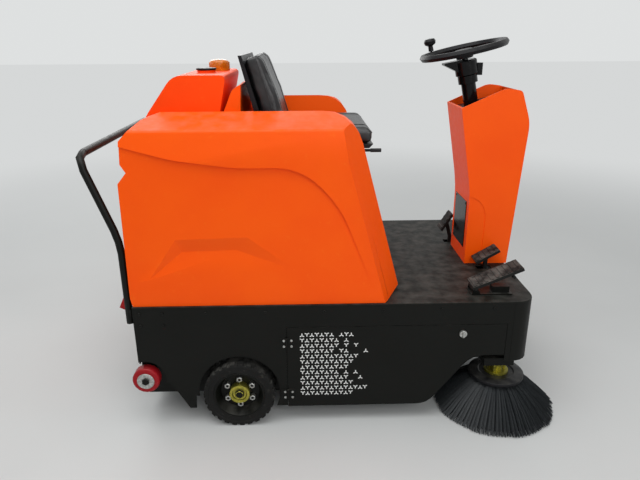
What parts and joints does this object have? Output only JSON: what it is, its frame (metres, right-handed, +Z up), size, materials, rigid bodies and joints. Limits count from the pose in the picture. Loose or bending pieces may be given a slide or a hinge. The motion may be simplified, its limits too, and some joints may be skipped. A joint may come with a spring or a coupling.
{
  "type": "ride-on sweeper",
  "caption": "Ride-on floor sweeper: steel frame, moulded hood with seat, rear hopper, roller brush, one side brush, tilted steering column, pedals, service door.",
  "frame": {"origin": "on the floor, below the middle of the machine's outline with its side brush and hopper handle", "axes": "+X forward, +Y towards the machine's left side, +Z up"},
  "size_m": [1.6393, 1.083, 1.3081],
  "materials": {
    "frame_black": "satin powder coat",
    "hood_orange": "rotomoulded polyethylene",
    "tank_orange": "rotomoulded polyethylene",
    "black_plastic": "moulded",
    "vinyl": "vinyl over foam",
    "rubber": "moulded",
    "tyre": "solid tyre",
    "bristle": "polypropylene bristle",
    "red_plastic": "polyurethane",
    "zinc": "yellow zinc plate",
    "steel": "bright steel",
    "amber": "translucent amber lens"
  },
  "bodies": {
    "chassis": {"deck_plate": "frame_black", "right_side_panel": "frame_black", "left_side_panel": "frame_black", "front_panel": "frame_black", "chassis_frame": "frame_black", "brush_housing": "frame_black", "upper_door_hinge": "frame_black", "lower_door_hinge": "frame_black", "dust_filter": "black_plastic", "suction_fan": "black_plastic", "right_wheel_carrier": "frame_black", "left_wheel_carrier": "frame_black", "steering_gearbox": "frame_black", "steering_column": "black_plastic", "column_shroud": "hood_orange", "cover_plate": "black_plastic", "instrument_panel": "black_plastic", "battery_gauge": "black_plastic", "pedal_shaft": "steel", "accelerator_bracket": "frame_black", "brush_motor": "black_plastic", "hood": "hood_orange", "water_tank": "tank_orange", "beacon": "amber", "right_battery": "black_plastic", "left_battery": "black_plastic", "seat_rails": "steel"},
    "steering": {"steering_wheel": "black_plastic", "steering_shaft": "steel"},
    "knob": {"wheel_knob": "black_plastic"},
    "fork": {"front_fork": "frame_black"},
    "front_wheel": {"front_tyre": "tyre", "front_hub": "steel"},
    "right_rear_wheel": {"right_rear_tyre": "tyre", "right_rear_rim": "frame_black"},
    "left_rear_wheel": {"left_rear_tyre": "tyre", "left_rear_rim": "frame_black"},
    "hopper_unit": {"hopper": "frame_black", "hopper_handle": "frame_black"},
    "right_hopper_roller": {"right_roller": "red_plastic"},
    "left_hopper_roller": {"left_roller": "red_plastic"},
    "latch": {"hopper_latch": "red_plastic"},
    "roller_brush": {"main_brush": "bristle"},
    "flap": {"front_flap": "rubber"},
    "brush_arm": {"side_brush_arm": "frame_black"},
    "side_brush_unit": {"side_brush": "bristle", "side_brush_hub": "zinc"},
    "door": {"right_door": "frame_black"},
    "lock": {"door_lock": "black_plastic"},
    "brake": {"brake_pedal": "rubber"},
    "flap_lever": {"flap_pedal": "rubber"},
    "accelerator": {"accelerator_pedal": "rubber"},
    "seat": {"seat_pan": "black_plastic", "seat_cushion": "vinyl", "seat_back": "vinyl"},
    "seat_release": {"seat_lever": "black_plastic"},
    "cap": {"tank_cap": "black_plastic"},
    "key": {"key_switch": "steel"},
    "brush_rocker": {"brush_switch": "black_plastic"},
    "lamp_rocker": {"lamp_switch": "black_plastic"}
  },
  "joints": [
    {"name": "steering_turn", "type": "hinge", "parent": "chassis", "child": "steering", "pos_m": [0.65, 0.06, 0.541], "axis": [-0.2164, 0, 0.9763], "range_deg": [-150, 150]},
    {"name": "fork_swivel", "type": "hinge", "parent": "chassis", "child": "fork", "pos_m": [0.59, 0.06, 0.2], "axis": [0, 0, 1], "range_deg": [-50, 50]},
    {"name": "knob_spin", "type": "hinge", "parent": "steering", "child": "knob", "pos_m": [0.39695, 0.17337, 1.2429], "axis": [-0.2164, 0, 0.9763], "continuous": true},
    {"name": "front_wheel_spin", "type": "hinge", "parent": "fork", "child": "front_wheel", "pos_m": [0.56, 0.06, 0.1], "axis": [0, 1, 0], "continuous": true},
    {"name": "right_rear_wheel_spin", "type": "hinge", "parent": "chassis", "child": "right_rear_wheel", "pos_m": [-0.341, -0.39, 0.125], "axis": [0, 1, 0], "continuous": true},
    {"name": "left_rear_wheel_spin", "type": "hinge", "parent": "chassis", "child": "left_rear_wheel", "pos_m": [-0.341, 0.5, 0.125], "axis": [0, 1, 0], "continuous": true},
    {"name": "hopper_slide", "type": "slide", "parent": "chassis", "child": "hopper_unit", "axis": [-1, 0, 0], "range_m": [0, 0.4]},
    {"name": "right_roller_spin", "type": "hinge", "parent": "hopper_unit", "child": "right_hopper_roller", "pos_m": [-0.664, -0.394, 0.183], "axis": [0, 1, 0], "continuous": true},
    {"name": "left_roller_spin", "type": "hinge", "parent": "hopper_unit", "child": "left_hopper_roller", "pos_m": [-0.664, 0.514, 0.183], "axis": [0, 1, 0], "continuous": true},
    {"name": "latch_lift", "type": "hinge", "parent": "hopper_unit", "child": "latch", "pos_m": [-0.701, -0.24, 0.432], "axis": [0, 1, 0], "range_deg": [0, 60]},
    {"name": "main_brush_spin", "type": "hinge", "parent": "chassis", "child": "roller_brush", "pos_m": [0.04, 0.06, 0.1473], "axis": [0, 1, 0], "continuous": true},
    {"name": "flap_pedal_press", "type": "hinge", "parent": "chassis", "child": "flap_lever", "pos_m": [0.48, 0.22, 0.44], "axis": [0, 1, 0], "range_deg": [0, 12], "stiffness_Nm_per_rad": 2.5, "springref_deg": -8.59},
    {"name": "front_flap_swing", "type": "hinge", "parent": "chassis", "child": "flap", "pos_m": [0.2103, 0.06, 0.084], "axis": [0, -1, 0], "range_deg": [0, 36]},
    {"name": "side_brush_lift", "type": "hinge", "parent": "chassis", "child": "brush_arm", "pos_m": [0.365, -0.314, 0.225], "axis": [0, -1, 0], "range_deg": [0, 8]},
    {"name": "side_brush_spin", "type": "hinge", "parent": "brush_arm", "child": "side_brush_unit", "pos_m": [0.6, -0.314, 0.15], "axis": [0, 0, 1], "continuous": true},
    {"name": "door_swing", "type": "hinge", "parent": "chassis", "child": "door", "pos_m": [-0.171, -0.4088, 0.2], "axis": [0, 0, -1], "range_deg": [0, 105]},
    {"name": "lock_turn", "type": "hinge", "parent": "door", "child": "lock", "pos_m": [0.437, -0.404, 0.345], "axis": [0, 1, 0], "range_deg": [0, 90]},
    {"name": "brake_press", "type": "hinge", "parent": "chassis", "child": "brake", "pos_m": [0.48, -0.09, 0.44], "axis": [0, 1, 0], "range_deg": [0, 8], "stiffness_Nm_per_rad": 3, "springref_deg": -11.46},
    {"name": "accelerator_press", "type": "hinge", "parent": "chassis", "child": "accelerator", "pos_m": [0.487, -0.315, 0.477], "axis": [0, 1, 0], "range_deg": [0, 10], "stiffness_Nm_per_rad": 3, "springref_deg": -14.32},
    {"name": "seat_slide", "type": "slide", "parent": "chassis", "child": "seat", "axis": [1, 0, 0], "range_m": [0, 0.1]},
    {"name": "seat_release_lift", "type": "hinge", "parent": "seat", "child": "seat_release", "pos_m": [0.065, -0.13, 0.931], "axis": [0, -1, 0], "range_deg": [0, 5], "stiffness_Nm_per_rad": 0.5, "springref_deg": -5.73},
    {"name": "cap_turn", "type": "hinge", "parent": "chassis", "child": "cap", "pos_m": [-0.45, 0.01, 1.19], "axis": [0, 0, 1], "range_deg": [0, 180]},
    {"name": "key_turn", "type": "hinge", "parent": "chassis", "child": "key", "pos_m": [0.625, 0.002, 1.0828], "axis": [-0.2588, 0, 0.9659], "range_deg": [0, 60]},
    {"name": "brush_switch_tip", "type": "hinge", "parent": "chassis", "child": "brush_rocker", "pos_m": [0.59, 0.118, 1.0734], "axis": [0, -1, 0], "range_deg": [0, 10]},
    {"name": "lamp_switch_tip", "type": "hinge", "parent": "chassis", "child": "lamp_rocker", "pos_m": [0.59, 0.002, 1.0734], "axis": [0, -1, 0], "range_deg": [0, 10]}
  ],
  "couplings": [
    {"joint": "fork_swivel", "follows": "steering_turn", "ratio": 0.3333},
    {"joint": "front_flap_swing", "follows": "flap_pedal_press", "ratio": 3}
  ]
}
